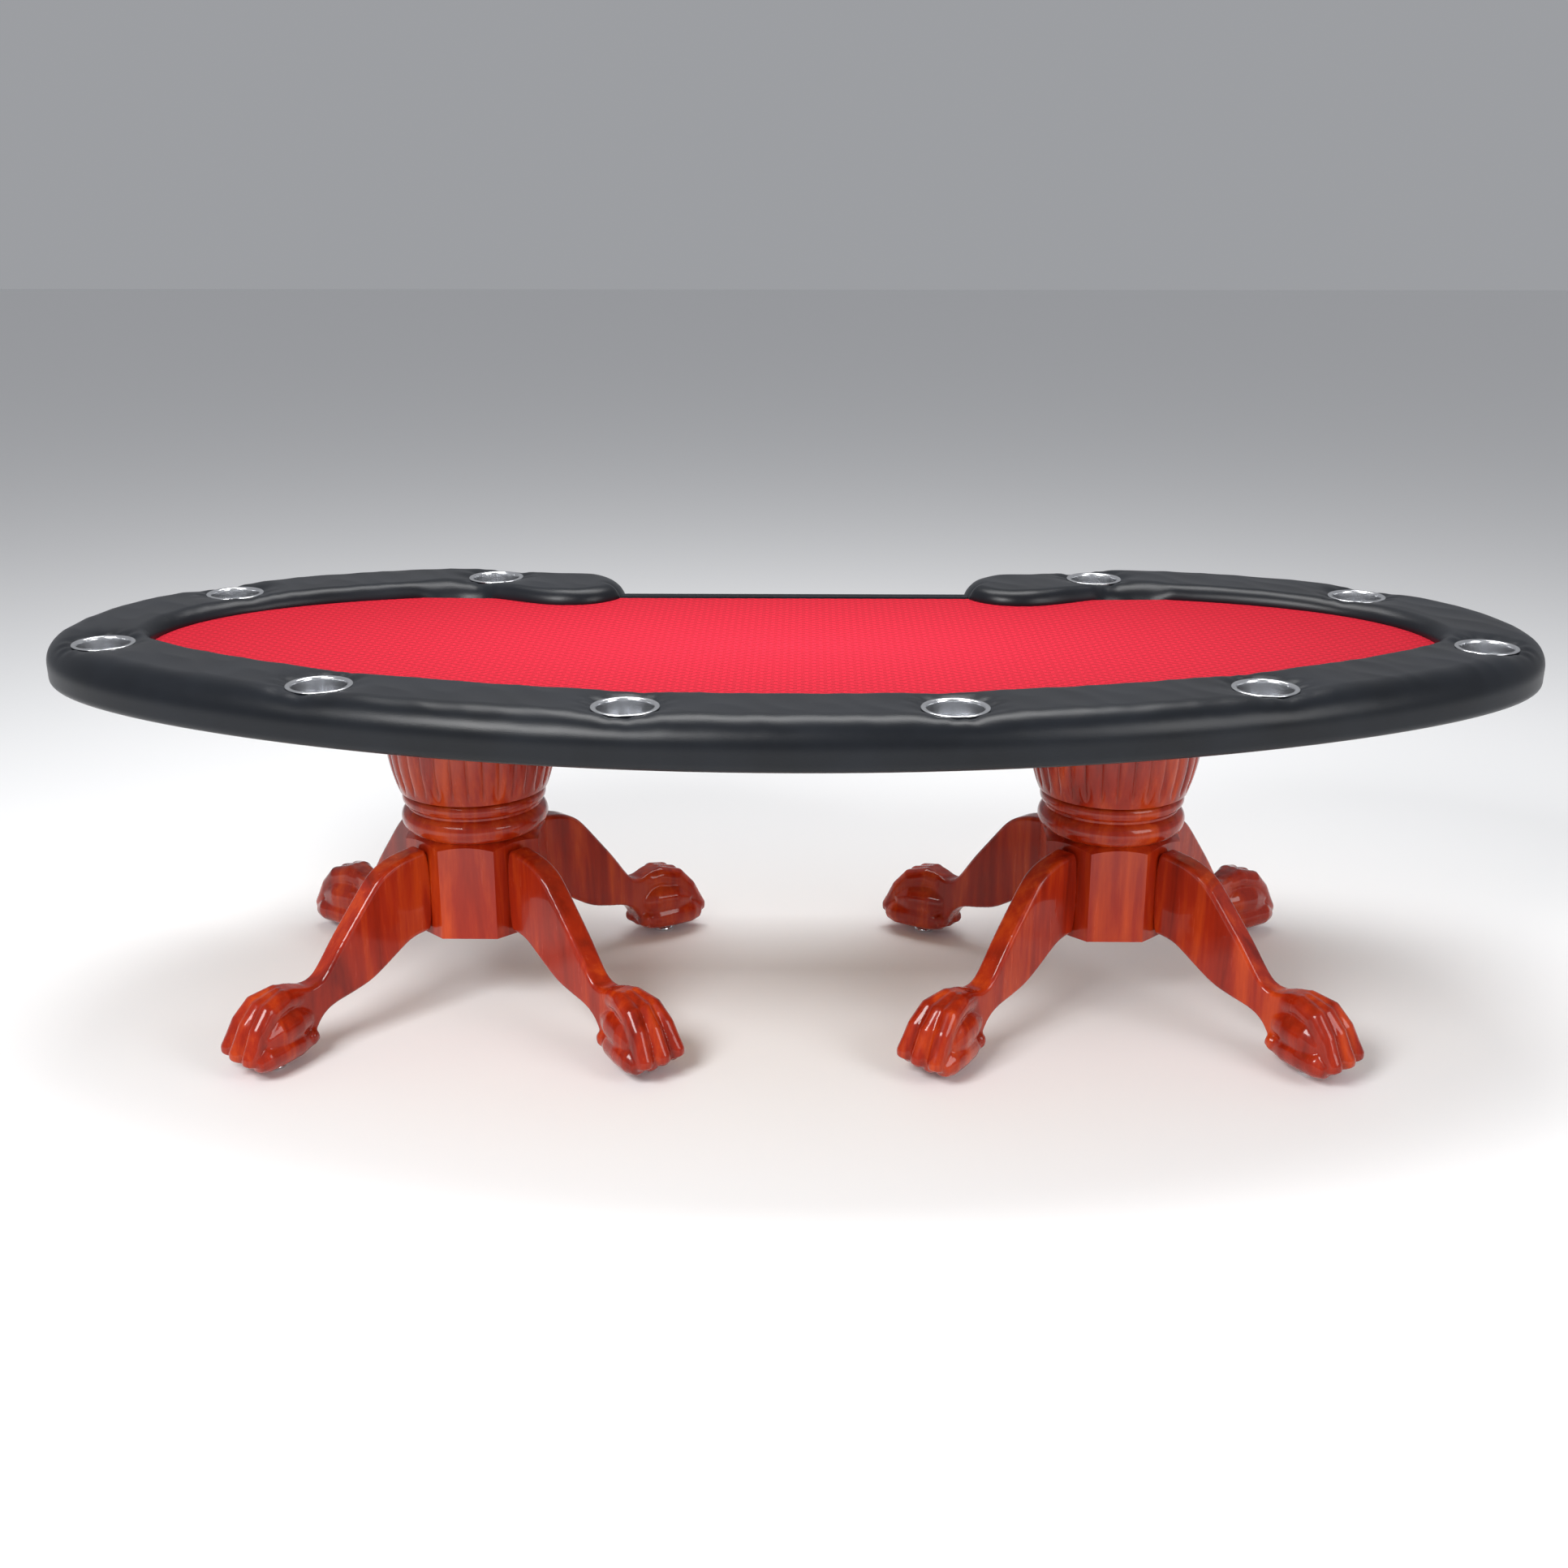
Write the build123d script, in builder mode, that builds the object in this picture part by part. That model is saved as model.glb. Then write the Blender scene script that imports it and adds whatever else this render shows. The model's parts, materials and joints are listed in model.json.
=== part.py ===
"""Oval casino card table with a dealer cut-out, ten drop-in cup holders and two claw-foot pedestals.

Row frame in millimetres: +Z up, +X along the table's length, -Y towards the players' long side and +Y
towards the dealer. The origin is on the floor, under the centre of the table's bounding box.
"""

import math
import os

from build123d import *

# ---------------------------------------------------------------- driving dimensions
TABLE_LENGTH = 2743.0  # 108 in
TABLE_WIDTH = 1219.0  # 48 in, the full oval before the dealer's side is cut away
TABLE_HEIGHT = 737.0  # 29 in, to the top of the padded rail

RAIL_WIDTH = 185.5
RAIL_DEPTH = 88.0  # from the rail's top to the bottom of its skirt
RAIL_ROUND = 28.0
CLOTH_DROP = 30.0  # from the rail's top down to the cloth
FRONT_TAPER = 0.20  # pulls the players' side in towards the two ends
BACK_FULLNESS = 0.30  # pushes the dealer's side out towards the two ends
BACK_REACH = 567.84  # from the oval's middle line to the rail's furthest point on the dealer's side

END_X = 451.0  # centre of each rounded rail end beside the dealer
END_DRAW = 91.6  # how far the rail ends turn in towards the cloth
DRAW_START_X = 690.0
END_RADIUS = 106.0

VINYL = 2.0
CLOTH_THICKNESS = 2.0
UNDERLAY = 3.0
BOARD = 25.0
CLOTH_TUCK = 25.0  # how far the cloth runs in under the rail
DEALER_EDGE_Y = 369.0  # the straight edge of the boards at the dealer
DEALER_TRIM_WIDTH = 26.0
DEALER_TRIM_PROUD = 5.0
FIT_GAP = 0.3
LIP_CLEAR = 1.5  # how much further under the lip the cloth has room
CORE_INSET = CLOTH_TUCK + FIT_GAP  # from the rail's edges to the edge of the boards inside it

CUP_FLANGE_RADIUS = 56.0
CUP_RADIUS = 47.5
CUP_WALL = 0.8
CUP_DEPTH = 75.0
CUP_SINK = 9.0  # how far the cup's flange sits below the rail's top
CUP_ANGLES = (61.0, 28.9, -14.0, -52.2, -78.1)  # along the right half of the rail, from the dealer round
CUP_HOLE_RADIUS = 48.5

PEDESTAL_X = 604.0
TOP_PLATE_SIDE = 340.0
TOP_PLATE = 25.0
URN_ARC_RADIUS = 310.0
URN_ARC_CENTRE_R = -149.0
URN_WIDEST_Z = 545.0
URN_SHOULDER_Z = 598.0
URN_BOTTOM_Z = 432.0
URN_WALL = 30.0
HUB_TOP_Z = 350.0
HUB_BOTTOM_Z = 165.0
HUB_APOTHEM = 125.0
HUB_WALL = 33.0

LEG_THICKNESS = 45.0
TOE_WIDTH = 36.0
TOE_SPLAY = 9.0
PAW_SOLE_Z = 13.0
GLIDE_R = 462.0  # from the pedestal's axis to each levelling glide
GLIDE_RADIUS = 20.0
STEM_RADIUS = 4.0

# ---------------------------------------------------------------- levels worked out from them
Z_TOP = TABLE_HEIGHT
Z_SKIRT = Z_TOP - RAIL_DEPTH
Z_CLOTH = Z_TOP - CLOTH_DROP
Z_BOARD_TOP = Z_CLOTH - CLOTH_THICKNESS - UNDERLAY
Z_BOARD_BOTTOM = Z_BOARD_TOP - BOARD
Z_SUB_BOTTOM = Z_BOARD_BOTTOM - BOARD
Z_PLATE_BOTTOM = Z_SUB_BOTTOM - TOP_PLATE
Z_FLANGE = Z_TOP - CUP_SINK
Z_CUP_BOTTOM = Z_FLANGE - CUP_DEPTH
HUB_CORNER = HUB_APOTHEM / math.cos(math.pi / 8)

CENTRE_A = (TABLE_LENGTH - RAIL_WIDTH) / 2
CENTRE_B = (TABLE_WIDTH - RAIL_WIDTH) / 2


# ---------------------------------------------------------------- the rail's plan
def draw(x, y):
    """How far along the turn-in of a rail end a point is: 0 along the table, 1 at the end, smooth between."""
    if y < 0 or abs(x) > DRAW_START_X:
        return 0.0
    share = min(1.0, (DRAW_START_X - abs(x)) / (DRAW_START_X - END_X))
    return share * share * (3 - 2 * share)


def oval_point(t, offset=0.0):
    """A point of the plain oval, t degrees anticlockwise from the table's right-hand end. It is an ellipse
    whose height is scaled by 1 - k cos(t)^2. The offset is measured outwards from the oval."""

    def on_oval(angle):
        c, s = math.cos(math.radians(angle)), math.sin(math.radians(angle))
        k = FRONT_TAPER if s < 0 else -BACK_FULLNESS
        return CENTRE_A * c, CENTRE_B * s * (1 - k * c * c)

    x, y = on_oval(t)
    (x0, y0), (x1, y1) = on_oval(t - 0.05), on_oval(t + 0.05)
    length = math.hypot(x1 - x0, y1 - y0)
    return x + offset * (y1 - y0) / length, y - offset * (x1 - x0) / length


def angle_at(x, offset):
    """The angle on the dealer's side where the oval, moved out by an offset, reaches an x."""
    low, high = 20.0, 90.0
    for _ in range(50):
        middle = (low + high) / 2
        low, high = (middle, high) if oval_point(middle, offset)[0] > x else (low, middle)
    return low


def oval_y(x, offset=0.0):
    return oval_point(angle_at(x, offset), offset)[1]


# The oval stands so that the whole table's bounding box is centred on the origin.
SHIFT_Y = (TABLE_WIDTH / 2 - BACK_REACH) / 2
END_Y = oval_y(END_X) - END_DRAW + SHIFT_Y


def half_edge(offset, drop):
    """Points of one long edge of the rail from the front middle round to the right rail end."""
    finish = angle_at(END_X, offset)
    steps = [-90 + 6 * i for i in range(24)] + [48 + (finish - 48) * i / 7 for i in range(1, 8)]
    points = [oval_point(t, offset) for t in steps]
    return [(x, y + SHIFT_Y - drop * draw(x, y)) for x, y in points]


def whole_edge(offset, end_offset):
    """A long edge of the rail, from the left rail end round the front to the right rail end. It finishes
    level with the dealer's straight edge, at an offset from the middle of the rail's end."""
    drop = oval_y(END_X, offset) + SHIFT_Y - (END_Y + end_offset)
    right = half_edge(offset, drop)
    return [(-x, y) for x, y in reversed(right)] + right[1:]


def band(inset):
    """Draws the rail's C-shaped plan, taken in by an inset all round, as a face of the current sketch."""
    outer = whole_edge(RAIL_WIDTH / 2 - inset, END_RADIUS - inset)
    inner = whole_edge(inset - RAIL_WIDTH / 2, inset - END_RADIUS)
    reach = END_RADIUS - inset
    right_end = [
        (END_X + reach * math.cos(math.radians(a)), END_Y + reach * math.sin(math.radians(a)))
        for a in range(110, 260, 20)
    ]
    left_end = [(-x, y) for x, y in reversed(right_end)]
    front = len(outer) // 2  # the closed curve starts in the middle of the players' side
    with BuildLine() as outline:
        Spline(*outer[front:], *right_end, *reversed(inner), *left_end, *outer[:front], periodic=True)
    make_face(outline.edges())


def field(inset):
    """Draws the plan inside the rail, reaching in under it by an inset from its inner edge, with the straight
    edge at the dealer."""
    with BuildSketch() as drawn:
        with BuildLine():
            middle = whole_edge(0, 0)
            Spline(*middle)
            Line(middle[-1], middle[0])
        make_face()
        with Locations((0, DEALER_EDGE_Y + SHIFT_Y)):
            Rectangle(TABLE_LENGTH, TABLE_WIDTH, align=(Align.CENTER, Align.MIN), mode=Mode.SUBTRACT)
    with BuildSketch() as rail:
        band(inset)
    add(drawn.sketch - rail.sketch)


def rail_place(t):
    """A point on the rail's middle line."""
    x, y = oval_point(t)
    return x, y + SHIFT_Y - END_DRAW * draw(x, y)


def cup_angles():
    """The ten cup holders, from the one at the dealer's left round to the one at the right."""
    return [-180.0 - t for t in CUP_ANGLES] + list(reversed(CUP_ANGLES))


CUP_PLACES = [rail_place(t) for t in cup_angles()]

os.makedirs("parts", exist_ok=True)


def save(part, name, place=None):
    """Writes one node, moved to its place if it has one."""
    shape = part.moved(place) if place else part
    shape.label = name
    export_step(shape, f"parts/{name}.step")


def cup_holes(radius):
    """Cuts a hole of a radius for every cup holder, right through the current part."""
    with Locations(*[(x, y, Z_SKIRT) for x, y in CUP_PLACES]):
        Cylinder(radius, 2 * RAIL_DEPTH, align=(Align.CENTER, Align.CENTER, Align.MIN), mode=Mode.SUBTRACT)


# ---------------------------------------------------------------- table top: boards
rail_screw_angles = [-180 - t for t in (45, 8, -33, -65)] + [-90.0] + [-65, -33, 8, 45]
RAIL_SCREWS = [rail_place(t) for t in rail_screw_angles]
FIELD_SCREWS = [(x, y + SHIFT_Y) for x in (-860, -320, 0, 320, 860) for y in (-120, 120)]
SCREW_RADIUS = 3.0
SCREW_SLOT = 3.1
HEAD_RADIUS = 6.0
HEAD_HEIGHT = 3.5
BATTEN_Y = 225.0
BATTEN_LENGTH = 1500.0
BATTEN_WIDTH = 60.0
BATTEN_SCREW_X = (-700, -250, 250, 700)
BATTEN_SCREWS = [(x, y + SHIFT_Y) for x in BATTEN_SCREW_X for y in (-BATTEN_Y, BATTEN_Y)]
PLATE_SCREWS = [(x, y) for x in (-140, 0, 140) for y in (-140, 0, 140) if (x, y) != (0, 0)]


def screws(places, bottom, top):
    """Pan-head screws pointing up, one solid each, as the whole of the current part."""
    with Locations(*[(x, y, bottom) for x, y in places]):
        Cylinder(SCREW_RADIUS, top - bottom, align=(Align.CENTER, Align.CENTER, Align.MIN))
    with Locations(*[(x, y, bottom - HEAD_HEIGHT) for x, y in places]):
        Cylinder(HEAD_RADIUS, HEAD_HEIGHT, align=(Align.CENTER, Align.CENTER, Align.MIN))


def screw_holes(places, bottom, top):
    with Locations(*[(x, y, bottom) for x, y in places]):
        Cylinder(SCREW_SLOT, top - bottom, align=(Align.CENTER, Align.CENTER, Align.MIN), mode=Mode.SUBTRACT)


RAIL_SCREW_TOP = Z_BOARD_TOP - 5
PLATE_SCREW_TOP = Z_SUB_BOTTOM + 18
all_plate_screws = [(x + side * PEDESTAL_X, y + SHIFT_Y) for side in (-1, 1) for x, y in PLATE_SCREWS]

with BuildPart() as sub_top:
    with BuildSketch(Plane.XY.offset(Z_SUB_BOTTOM)):
        band(CORE_INSET)
        field(RAIL_WIDTH / 3)
    extrude(amount=BOARD)
    cup_holes(CUP_HOLE_RADIUS)
    screw_holes(RAIL_SCREWS + FIELD_SCREWS, Z_SUB_BOTTOM, Z_BOARD_BOTTOM)
    screw_holes(all_plate_screws + BATTEN_SCREWS, Z_SUB_BOTTOM, PLATE_SCREW_TOP)
save(sub_top.part, "sub_top")

with BuildPart() as rail_core:
    with BuildSketch(Plane.XY.offset(Z_BOARD_BOTTOM)):
        band(CORE_INSET)
    extrude(amount=BOARD)
    cup_holes(CUP_HOLE_RADIUS)
    screw_holes(RAIL_SCREWS, Z_BOARD_BOTTOM, RAIL_SCREW_TOP)
save(rail_core.part, "rail_core")

with BuildPart() as playfield_board:
    with BuildSketch(Plane.XY.offset(Z_BOARD_BOTTOM)):
        field(CLOTH_TUCK)
    extrude(amount=BOARD)
    screw_holes(FIELD_SCREWS, Z_BOARD_BOTTOM, RAIL_SCREW_TOP)
save(playfield_board.part, "playfield_board")

with BuildPart() as cloth_underlay:
    with BuildSketch(Plane.XY.offset(Z_BOARD_TOP)):
        field(CLOTH_TUCK)
    extrude(amount=UNDERLAY)
save(cloth_underlay.part, "cloth_underlay")

with BuildPart() as speed_cloth:
    with BuildSketch(Plane.XY.offset(Z_BOARD_TOP + UNDERLAY)):
        field(CLOTH_TUCK)
    extrude(amount=CLOTH_THICKNESS)
save(speed_cloth.part, "speed_cloth")


# ---------------------------------------------------------------- table top: padded rail
def rail_blank(inset):
    """The rail's full outer form, taken in by an inset all round, before the boards' space is cut out."""
    with BuildSketch(Plane.XY.offset(Z_SKIRT + inset)) as plan:
        band(inset)
    extrude(plan.sketch, amount=RAIL_DEPTH - 2 * inset)
    fillet(edges().group_by(Axis.Z)[-1], RAIL_ROUND - inset)


def board_space():
    """Cuts the space that the boards, underlay and cloth take up."""
    with BuildSketch(Plane.XY.offset(Z_SKIRT - 1)) as under_rail:
        band(CORE_INSET)
    extrude(under_rail.sketch, amount=Z_BOARD_TOP - Z_SKIRT + 1, mode=Mode.SUBTRACT)
    with BuildSketch(Plane.XY.offset(Z_SKIRT - 1)) as under_cloth:
        field(CORE_INSET + LIP_CLEAR)
    extrude(under_cloth.sketch, amount=Z_CLOTH - Z_SKIRT + 1, mode=Mode.SUBTRACT)


def flange_recesses():
    with Locations(*[(x, y, Z_FLANGE - FIT_GAP) for x, y in CUP_PLACES]):
        Cylinder(
            CUP_FLANGE_RADIUS + 1.5, RAIL_DEPTH, align=(Align.CENTER, Align.CENTER, Align.MIN), mode=Mode.SUBTRACT
        )


with BuildPart() as foam_blank:
    rail_blank(VINYL)

with BuildPart() as rail_cover:
    rail_blank(0)
    add(foam_blank.part, mode=Mode.SUBTRACT)
    board_space()
    cup_holes(CUP_HOLE_RADIUS)
    flange_recesses()
save(rail_cover.part, "rail_cover")

with BuildPart() as rail_foam:
    add(foam_blank.part)
    board_space()
    cup_holes(CUP_HOLE_RADIUS)
    flange_recesses()
save(rail_foam.part, "rail_foam")

with BuildPart() as dealer_edge_trim:
    with BuildSketch(Plane.XY.offset(Z_SKIRT)):
        with Locations((0, DEALER_EDGE_Y + FIT_GAP + SHIFT_Y)):
            Rectangle(2 * END_X, DEALER_TRIM_WIDTH, align=(Align.CENTER, Align.MIN))
        with Locations((-END_X, END_Y), (END_X, END_Y)):
            Circle(END_RADIUS + FIT_GAP, mode=Mode.SUBTRACT)
    extrude(amount=Z_CLOTH + DEALER_TRIM_PROUD - Z_SKIRT)
    fillet(edges().group_by(Axis.Z)[-1].filter_by(Axis.X), 8)
save(dealer_edge_trim.part, "dealer_edge_trim")


# ---------------------------------------------------------------- table top: cup holders and screws
with BuildPart() as cup_holder:
    with BuildSketch(Plane.XZ):
        with BuildLine():
            Polyline(
                (0, Z_CUP_BOTTOM),
                (CUP_RADIUS, Z_CUP_BOTTOM),
                (CUP_RADIUS, Z_FLANGE),
                (CUP_FLANGE_RADIUS, Z_FLANGE),
                (CUP_FLANGE_RADIUS, Z_FLANGE + 2 * CUP_WALL),
                (CUP_RADIUS - CUP_WALL, Z_FLANGE + 2 * CUP_WALL),
                (CUP_RADIUS - CUP_WALL, Z_CUP_BOTTOM + CUP_WALL),
                (0, Z_CUP_BOTTOM + CUP_WALL),
                close=True,
            )
        make_face()
    revolve(axis=Axis.Z)
for number, (x, y) in enumerate(CUP_PLACES, 1):
    save(cup_holder.part, f"cup_holder_{number}", Location((x, y, 0)))

with BuildPart() as rail_screws:
    screws(RAIL_SCREWS, Z_SUB_BOTTOM, RAIL_SCREW_TOP)
save(rail_screws.part, "rail_screws")

with BuildPart() as playfield_screws:
    screws(FIELD_SCREWS, Z_SUB_BOTTOM, RAIL_SCREW_TOP)
save(playfield_screws.part, "playfield_screws")

with BuildPart() as batten:
    with Locations((0, 0, Z_PLATE_BOTTOM)):
        Box(BATTEN_LENGTH, BATTEN_WIDTH, TOP_PLATE, align=(Align.CENTER, Align.CENTER, Align.MIN))
    chamfer(edges().group_by(Axis.Z)[0], 4)
    screw_holes([(x, 0) for x in BATTEN_SCREW_X], Z_PLATE_BOTTOM, Z_SUB_BOTTOM)
save(batten.part, "front_batten", Location((0, SHIFT_Y - BATTEN_Y, 0)))
save(batten.part, "back_batten", Location((0, SHIFT_Y + BATTEN_Y, 0)))

with BuildPart() as batten_screws:
    screws(BATTEN_SCREWS, Z_PLATE_BOTTOM, PLATE_SCREW_TOP)
save(batten_screws.part, "batten_screws")

# ---------------------------------------------------------------- pedestals, built once on the Z axis
SIDES = {"left": Location((-PEDESTAL_X, SHIFT_Y, 0)), "right": Location((PEDESTAL_X, SHIFT_Y, 0))}
ROD_RADIUS = 6.0
ROD_SLOT = 6.2
FLOOR_BOARD = 18.0
Z_FLOOR_BOARD = HUB_BOTTOM_Z + 14


def save_pair(part, name):
    """Writes a pedestal piece for both pedestals."""
    for side, place in SIDES.items():
        save(part, f"{side}_{name}", place)


def save_group(part, name):
    """Writes identical fasteners of both pedestals as one node of separate solids."""
    both = Compound(children=[part.moved(place) for place in SIDES.values()])
    save(both, name)


with BuildPart() as top_plate:
    with BuildSketch(Plane.XY.offset(Z_PLATE_BOTTOM)):
        RectangleRounded(TOP_PLATE_SIDE, TOP_PLATE_SIDE, 20)
        Circle(ROD_SLOT, mode=Mode.SUBTRACT)
    extrude(amount=TOP_PLATE)
    chamfer(edges().group_by(Axis.Z)[0].filter_by(Axis.X), 6)
    chamfer(edges().group_by(Axis.Z)[0].filter_by(Axis.Y), 6)
    screw_holes(PLATE_SCREWS, Z_PLATE_BOTTOM, Z_SUB_BOTTOM)
    with Locations((0, 0, Z_SUB_BOTTOM - 14)):
        Cylinder(16, 14, align=(Align.CENTER, Align.CENTER, Align.MIN), mode=Mode.SUBTRACT)
save_pair(top_plate.part, "top_plate")

with BuildPart() as plate_screws:
    screws(PLATE_SCREWS, Z_PLATE_BOTTOM, PLATE_SCREW_TOP)
save_group(plate_screws.part, "plate_screws")


def urn_r(z, inset=0.0):
    """Radius of the urn at a level on its big arc."""
    return URN_ARC_CENTRE_R + math.sqrt((URN_ARC_RADIUS - inset) ** 2 - (z - URN_WIDEST_Z) ** 2)


COLLAR_RADIUS = 132.0
COLLAR_BORE = 100.0
with BuildPart() as fluted_urn:
    with BuildSketch(Plane.XZ):
        with BuildLine():
            bottom_in = (urn_r(URN_BOTTOM_Z, URN_WALL), URN_BOTTOM_Z)
            bottom_out = (urn_r(URN_BOTTOM_Z), URN_BOTTOM_Z)
            shoulder = (urn_r(URN_SHOULDER_Z), URN_SHOULDER_Z)
            neck = (COLLAR_RADIUS, URN_SHOULDER_Z + 18)
            Line(bottom_in, bottom_out)
            ThreePointArc(bottom_out, (urn_r(URN_WIDEST_Z), URN_WIDEST_Z), shoulder)
            ThreePointArc(shoulder, (urn_r(URN_SHOULDER_Z) - 7, URN_SHOULDER_Z + 13), neck)
            Polyline(
                neck,
                (COLLAR_RADIUS, Z_PLATE_BOTTOM),
                (COLLAR_BORE, Z_PLATE_BOTTOM),
                (COLLAR_BORE, URN_SHOULDER_Z),
            )
            inner_top = (urn_r(URN_WIDEST_Z + 20, URN_WALL), URN_WIDEST_Z + 20)
            Line((COLLAR_BORE, URN_SHOULDER_Z), inner_top)
            ThreePointArc(inner_top, (urn_r(500, URN_WALL), 500), bottom_in)
        make_face()
    revolve(axis=Axis.Z)
save_pair(fluted_urn.part, "fluted_urn")

with BuildPart() as base_ring:
    with BuildSketch(Plane.XZ):
        with BuildLine():
            Polyline((70, URN_BOTTOM_Z), (70, HUB_TOP_Z), (119, HUB_TOP_Z), (125, HUB_TOP_Z + 4))
            ThreePointArc((125, HUB_TOP_Z + 4), (138, HUB_TOP_Z + 26), (126, HUB_TOP_Z + 48))
            Line((126, HUB_TOP_Z + 48), (126, HUB_TOP_Z + 52))
            ThreePointArc((126, HUB_TOP_Z + 52), (135, HUB_TOP_Z + 67), (126, URN_BOTTOM_Z))
            Line((126, URN_BOTTOM_Z), (70, URN_BOTTOM_Z))
        make_face()
    revolve(axis=Axis.Z)
save_pair(base_ring.part, "base_ring")

BOLT_RADIUS = 5.0
BOLT_SLOT = 5.1
BOLT_LEVELS = (215.0, 300.0)
BOLT_TIP_R = 185.0
HUB_INNER = HUB_APOTHEM - HUB_WALL
leg_turns = {"front_right": -45.0, "back_right": 45.0, "back_left": 135.0, "front_left": -135.0}


def bolt_bores(radius, start, end):
    """Bores for the leg bolts, two above each other along each leg."""
    for turn in leg_turns.values():
        for level in BOLT_LEVELS:
            with Locations(Location((0, 0, level), (0, 0, turn))):
                with Locations(Location((start, 0, 0), (0, 90, 0))):
                    Cylinder(
                        radius, end - start, align=(Align.CENTER, Align.CENTER, Align.MIN), mode=Mode.SUBTRACT
                    )


with BuildPart() as hub:
    with BuildSketch(Plane.XY.offset(HUB_BOTTOM_Z)):
        RegularPolygon(HUB_APOTHEM, 8, major_radius=False, rotation=22.5)
        RegularPolygon(HUB_INNER, 8, major_radius=False, rotation=22.5, mode=Mode.SUBTRACT)
    extrude(amount=HUB_TOP_Z - HUB_BOTTOM_Z)
    with BuildSketch(Plane.XZ):
        Polygon(
            (0, HUB_BOTTOM_Z),
            (HUB_CORNER + 5, HUB_BOTTOM_Z),
            (HUB_CORNER + 5, HUB_TOP_Z - 14),
            (HUB_APOTHEM - 6, HUB_TOP_Z),
            (0, HUB_TOP_Z),
            align=None,
        )
    revolve(axis=Axis.Z, mode=Mode.INTERSECT)
    bolt_bores(BOLT_SLOT, HUB_INNER - 5, HUB_CORNER + 5)
save_pair(hub.part, "hub")

with BuildPart() as hub_floor:
    with BuildSketch(Plane.XY.offset(Z_FLOOR_BOARD)):
        RegularPolygon(HUB_INNER - FIT_GAP, 8, major_radius=False, rotation=22.5)
        Circle(ROD_SLOT, mode=Mode.SUBTRACT)
    extrude(amount=FLOOR_BOARD)
save_pair(hub_floor.part, "hub_floor")

with BuildPart() as tie_rod:
    with BuildSketch(Plane.XY.offset(Z_FLOOR_BOARD - 13)):
        Circle(ROD_RADIUS)
    extrude(amount=Z_SUB_BOTTOM - 1 - (Z_FLOOR_BOARD - 13))
save_group(tie_rod.part, "tie_rods")

Z_TIE_SEATS = ((Z_FLOOR_BOARD - 2, Z_FLOOR_BOARD - 12), (Z_SUB_BOTTOM - 14, Z_SUB_BOTTOM - 12))
with BuildPart() as tie_washers:
    for level in (Z_TIE_SEATS[0][0], Z_TIE_SEATS[1][0]):
        with BuildSketch(Plane.XY.offset(level)):
            Circle(14)
            Circle(ROD_SLOT, mode=Mode.SUBTRACT)
        extrude(amount=2)
save_group(tie_washers.part, "tie_washers")

with BuildPart() as tie_nuts:
    for level in (Z_TIE_SEATS[0][1], Z_TIE_SEATS[1][1]):
        with BuildSketch(Plane.XY.offset(level)):
            RegularPolygon(9.5, 6, major_radius=False)
            Circle(ROD_SLOT, mode=Mode.SUBTRACT)
        extrude(amount=10)
save_group(tie_nuts.part, "tie_nuts")


def bolt_place(turn, level, reach):
    """A place whose Z axis points out along a leg, at a reach from the pedestal's axis."""
    outward = Location((0, 0, level), (0, 0, turn)) * Location((reach, 0, 0), (0, 90, 0))
    return outward


bolt_places = [(turn, level) for turn in leg_turns.values() for level in BOLT_LEVELS]

with BuildPart() as leg_bolts:
    with Locations(*[bolt_place(turn, level, HUB_INNER - 14) for turn, level in bolt_places]):
        Cylinder(BOLT_RADIUS, BOLT_TIP_R - HUB_INNER + 14, align=(Align.CENTER, Align.CENTER, Align.MIN))
save_group(leg_bolts.part, "leg_bolts")

with BuildPart() as leg_washers:
    with Locations(*[bolt_place(turn, level, HUB_INNER - 2) for turn, level in bolt_places]):
        Cylinder(11, 2, align=(Align.CENTER, Align.CENTER, Align.MIN))
        Cylinder(BOLT_SLOT, 2, align=(Align.CENTER, Align.CENTER, Align.MIN), mode=Mode.SUBTRACT)
save_group(leg_washers.part, "leg_washers")

with BuildPart() as leg_nuts:
    for turn, level in bolt_places:
        with BuildSketch(Plane(bolt_place(turn, level, HUB_INNER - 10))):
            RegularPolygon(8.5, 6, major_radius=False)
            Circle(BOLT_SLOT, mode=Mode.SUBTRACT)
        extrude(amount=8)
save_group(leg_nuts.part, "leg_nuts")


# ---------------------------------------------------------------- one leg, along +X from the hub
def toe(turn):
    """One toe of the paw: its side profile, extruded, rounded and turned about the ankle."""
    ankle = 385.0
    with BuildPart(mode=Mode.PRIVATE) as made:
        with BuildSketch(Plane.XZ.offset(-TOE_WIDTH / 2)):
            with BuildLine():
                Polyline((436, PAW_SOLE_Z), (400, 40), (400, 118))
                Spline((400, 118), (438, 137), (474, 138), (502, 124))
                Spline((502, 124), (524, 92), (546, 56), (557, 32), (553, 18), (541, PAW_SOLE_Z))
                Line((541, PAW_SOLE_Z), (436, PAW_SOLE_Z))
            make_face()
        extrude(amount=TOE_WIDTH)
        fillet(made.faces().filter_by(Axis.Y).edges().filter_by(GeomType.BSPLINE), 11)
    return made.part.rotate(Axis((ankle, 0, 0), (0, 0, 1)), turn)


INSERT_RADIUS = 6.5
INSERT_BORE = STEM_RADIUS + 0.06
INSERT_LENGTH = 18.0
STEM_LENGTH = 32.0
toes = [toe(turn) for turn in (-TOE_SPLAY, 0.0, TOE_SPLAY)]

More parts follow.
